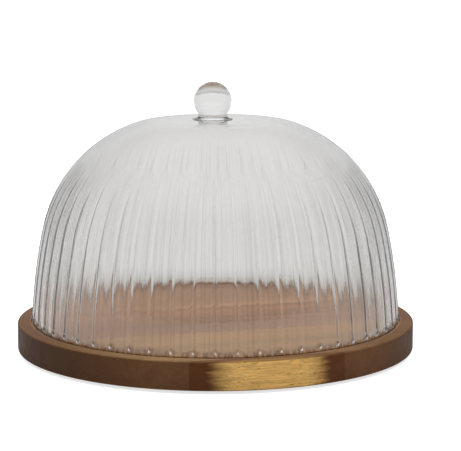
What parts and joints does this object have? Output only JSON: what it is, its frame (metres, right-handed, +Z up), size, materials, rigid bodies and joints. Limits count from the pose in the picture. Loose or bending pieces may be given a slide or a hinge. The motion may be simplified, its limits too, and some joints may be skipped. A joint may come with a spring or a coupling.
{
  "type": "ribbed glass cloche on a wooden board",
  "caption": "Domed cover of ribbed clear glass with a ball knob, resting in a groove on a round wooden serving board; it lifts straight off.",
  "frame": {"origin": "on the board's axis, in the plane that its feet stand on", "axes": "+Z up along the dome's lifting axis; +X to the right and -Y towards the viewer when the staves' far ends turn away on the right"},
  "size_m": [0.3, 0.3, 0.2027],
  "materials": {
    "wood_rear": "oiled acacia, satin, red-brown",
    "wood_rear_middle": "oiled acacia, satin, dark red-brown",
    "wood_front_middle": "oiled acacia, satin, tan",
    "wood_front": "oiled acacia, satin, brown with golden sapwood at its outer edge",
    "foot_silicone": "matte translucent silicone",
    "dome_glass": "clear ribbed glass, polished",
    "knob_glass": "clear solid glass, polished"
  },
  "bodies": {
    "board": {"stave_rear": "wood_rear", "stave_rear_middle": "wood_rear_middle", "stave_front_middle": "wood_front_middle", "stave_front": "wood_front", "foot_1": "foot_silicone", "foot_2": "foot_silicone", "foot_3": "foot_silicone", "foot_4": "foot_silicone"},
    "dome": {"glass_dome": "dome_glass", "glass_knob": "knob_glass"}
  },
  "joints": [
    {"name": "dome_lift", "type": "slide", "parent": "board", "child": "dome", "axis": [0, 0, 1], "range_m": [0, 0.18]}
  ]
}
